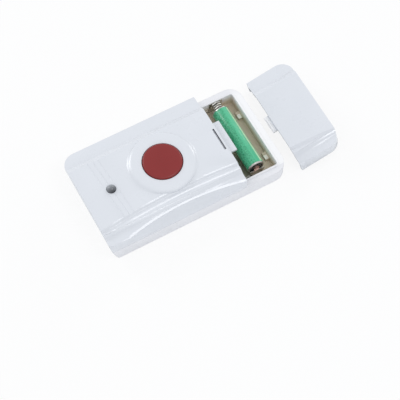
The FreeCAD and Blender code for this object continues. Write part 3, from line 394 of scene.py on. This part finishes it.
def refined(name, body, edge_width):
    """A welded copy of a solid with softened edges and smooth faces, in its place."""
    mesh = frame["nodes"][name].data.copy()
    mesh.name = name + "_refined"
    work = bmesh.new()
    work.from_mesh(mesh)
    bmesh.ops.remove_doubles(work, verts=work.verts, dist=WELD)
    bmesh.ops.dissolve_limit(
        work,
        angle_limit=FLAT_ANGLE,
        verts=work.verts,
        edges=work.edges,
        delimit={"NORMAL"},
    )
    ease_front(work)
    work.edges.index_update()
    sharp = [edge.index for edge in shoulder_edges(work)]
    work.to_mesh(mesh)
    work.free()
    mesh.shade_smooth()
    for index in sharp:
        mesh.edges[index].use_edge_sharp = True
    mesh.update()
    piece = bpy.data.objects.new(name + "_refined", mesh)
    scene.collection.objects.link(piece)
    bevel = piece.modifiers.new("edges", "BEVEL")
    bevel.width = edge_width * MM
    bevel.segments = 3
    bevel.limit_method = "ANGLE"
    bevel.angle_limit = EDGE_ANGLE
    bevel.harden_normals = True
    bevel.miter_outer = "MITER_ARC"
    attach(piece, body)
    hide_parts(name)


def lathe(name, body, runs, axis_x, axis_z):
    """Turn runs about an axis along Y; each run is a material and its (radius, y) points."""
    mesh = bpy.data.meshes.new(name)
    work = bmesh.new()
    for slot, (material, points) in enumerate(runs):
        mesh.materials.append(material)
        rings = []
        for radius, y in points:
            ring = []
            for step in range(LATHE_STEPS):
                turn = 2 * math.pi * step / LATHE_STEPS
                x = axis_x + radius * math.cos(turn)
                z = axis_z + radius * math.sin(turn)
                ring.append(work.verts.new((x * MM, y * MM, z * MM)))
            rings.append(ring)
        for low, high in zip(rings, rings[1:]):
            for step in range(LATHE_STEPS):
                after = (step + 1) % LATHE_STEPS
                face = work.faces.new((low[step], high[step], high[after], low[after]))
                face.material_index = slot
    bmesh.ops.remove_doubles(work, verts=work.verts, dist=LATHE_WELD)
    bmesh.ops.dissolve_degenerate(work, dist=LATHE_WELD, edges=work.edges)
    bmesh.ops.recalc_face_normals(work, faces=work.faces)
    work.to_mesh(mesh)
    work.free()
    mesh.shade_smooth()
    piece = bpy.data.objects.new(name, mesh)
    scene.collection.objects.link(piece)
    creases = piece.modifiers.new("edges", "EDGE_SPLIT")
    creases.split_angle = LATHE_SPLIT
    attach(piece, body)
    return piece


refined("front_shell", "case", 0.3)
refined("back_shell", "case", 0.25)
refined("battery_cover", "case", 0.3)
refined("panic_button", "button", 0.2)

# Painted reflection and painted shade on the battery's near end: a pinkish nub and a black ring around it where
# the end face lies in shade.
battery_runs = [
    (NUB_PAINTED_REFLECTION, [(0.0, -23.0), (1.55, -23.0), (1.88, -22.75), (1.9, -22.0)]),
    (BLACK, [(1.9, -22.0), (4.25, -21.95)]),
    (NICKEL, [(4.25, -21.95), (4.4, -22.2), (4.8, -22.2), (5.1, -22.0), (5.2, -21.7), (5.2, -21.3)]),
    (JACKET, [(5.2, -21.3), (5.25, -21.2), (5.25, 20.5), (5.2, 20.6)]),
    (NICKEL, [(5.2, 20.6), (5.2, 21.1), (4.8, 21.5), (0.0, 21.5)]),
]
can = lathe("battery_dressed", "case", battery_runs, 41.95, 8.4)
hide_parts("battery")


# Camera, lights and floor

def camera():
    data = bpy.data.cameras.new("view")
    data.sensor_width = 36.0
    data.lens = 117.2
    data.clip_start = 0.05
    data.clip_end = 20.0
    item = bpy.data.objects.new("view", data)
    right = Vector((0.8761, -0.4822, 0.0))
    up = Vector((0.4294, 0.7803, 0.4548))
    back = Vector((-0.2193, -0.3984, 0.8906))
    turn = Matrix((right, up, back)).transposed().to_4x4()
    item.matrix_world = Matrix.Translation((-0.1623, -0.3250, 0.6790)) @ turn
    scene.collection.objects.link(item)
    scene.camera = item


def lamp(name, place, size, power, tint=(1, 1, 1), depth=None):
    """An area lamp turned towards the case; with a depth it is a rectangle, without one a disc."""
    data = bpy.data.lights.new(name, "AREA")
    data.shape = "RECTANGLE" if depth else "DISK"
    data.size = size
    if depth:
        data.size_y = depth
    data.energy = power
    data.color = tint
    item = bpy.data.objects.new(name, data)
    item.location = place
    item.rotation_euler = (-Vector(place)).to_track_quat("-Z", "Y").to_euler()
    scene.collection.objects.link(item)


def seen_directly(tree):
    """One where the camera or a clear piece looks straight at it."""
    path = tree.nodes.new("ShaderNodeLightPath")
    either = tree.nodes.new("ShaderNodeMath")
    either.operation = "MAXIMUM"
    tree.links.new(path.outputs["Is Camera Ray"], either.inputs[0])
    tree.links.new(path.outputs["Is Transmission Ray"], either.inputs[1])
    return either.outputs[0]


def mixed(tree, share, plain, bright, target):
    """Lead a mix of two shaders, by the share of the bright one, to the target socket."""
    mix = tree.nodes.new("ShaderNodeMixShader")
    tree.links.new(share, mix.inputs["Fac"])
    tree.links.new(plain.outputs[0], mix.inputs[1])
    tree.links.new(bright.outputs[0], mix.inputs[2])
    tree.links.new(mix.outputs[0], target)


def floor():
    work = bmesh.new()
    bmesh.ops.create_grid(work, x_segments=8, y_segments=8, size=3.0)
    mesh = bpy.data.meshes.new("floor")
    work.to_mesh(mesh)
    work.free()
    item = bpy.data.objects.new("floor", mesh)
    item.location = (0, 0, -0.0002)
    scene.collection.objects.link(item)
    material = bpy.data.materials.new("floor_white")
    material.use_nodes = True
    tree = material.node_tree
    shader = tree.nodes["Principled BSDF"]
    shader.inputs["Base Color"].default_value = (0.93, 0.935, 0.94, 1)
    shader.inputs["Roughness"].default_value = 0.9
    glow = tree.nodes.new("ShaderNodeEmission")
    glow.inputs["Color"].default_value = (1, 1, 1, 1)
    glow.inputs["Strength"].default_value = 1.0
    share = tree.nodes.new("ShaderNodeMath")
    share.operation = "MULTIPLY"
    share.inputs[1].default_value = 0.86
    tree.links.new(seen_directly(tree), share.inputs[0])
    mixed(tree, share.outputs[0], shader, glow, tree.nodes["Material Output"].inputs["Surface"])
    mesh.materials.append(material)


def world():
    item = bpy.data.worlds.new("studio")
    item.use_nodes = True
    tree = item.node_tree
    sky = tree.nodes["Background"]
    sky.inputs["Color"].default_value = (0.945, 0.965, 1.0, 1)
    sky.inputs["Strength"].default_value = 0.77
    bright = tree.nodes.new("ShaderNodeBackground")
    bright.inputs["Color"].default_value = (1, 1, 1, 1)
    bright.inputs["Strength"].default_value = 1.0
    mixed(tree, seen_directly(tree), sky, bright, tree.nodes["World Output"].inputs["Surface"])
    scene.world = item


scene.view_settings.view_transform = "Standard"
camera()
floor()
world()
lamp("far_left", (-0.46, 0.77, 0.52), 0.42, 1.6)
lamp("right", (0.82, 0.40, 0.42), 0.26, 0.7, tint=(1.0, 0.99, 0.95))
lamp("strip", (0.21, -0.44, 0.87), 0.38, 1.35, depth=0.23)

bpy.context.view_layer.update()
